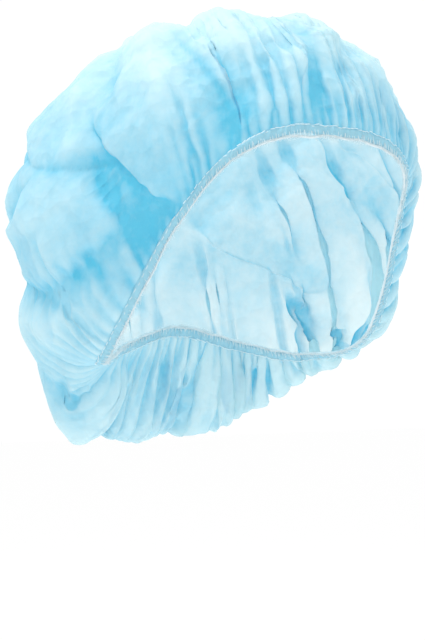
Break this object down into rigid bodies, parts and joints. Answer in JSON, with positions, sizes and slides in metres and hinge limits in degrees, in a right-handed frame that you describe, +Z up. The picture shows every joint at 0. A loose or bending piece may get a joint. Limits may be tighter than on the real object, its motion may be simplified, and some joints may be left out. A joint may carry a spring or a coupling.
{
  "type": "disposable hairnet",
  "caption": "Disposable bouffant hairnet of pale blue nonwoven, shaped as worn: folded crown, gathered elastic hem, open below for the head.",
  "frame": {"origin": "middle of the head opening, between the forehead, the sides and the nape of the hem", "axes": "+Z up towards the crown, -Y the wearer's face, +X the wearer's left"},
  "size_m": [0.216, 0.2166, 0.2225],
  "materials": {
    "nonwoven": "pale blue spunbond polypropylene, matte, slightly see-through",
    "hem_nonwoven": "the same spunbond polypropylene, rolled and gathered in several layers",
    "elastic_thread": "white overlocked elastic thread"
  },
  "bodies": {
    "root": {"crown": "nonwoven", "hem": "hem_nonwoven", "elastic": "elastic_thread"}
  },
  "joints": []
}
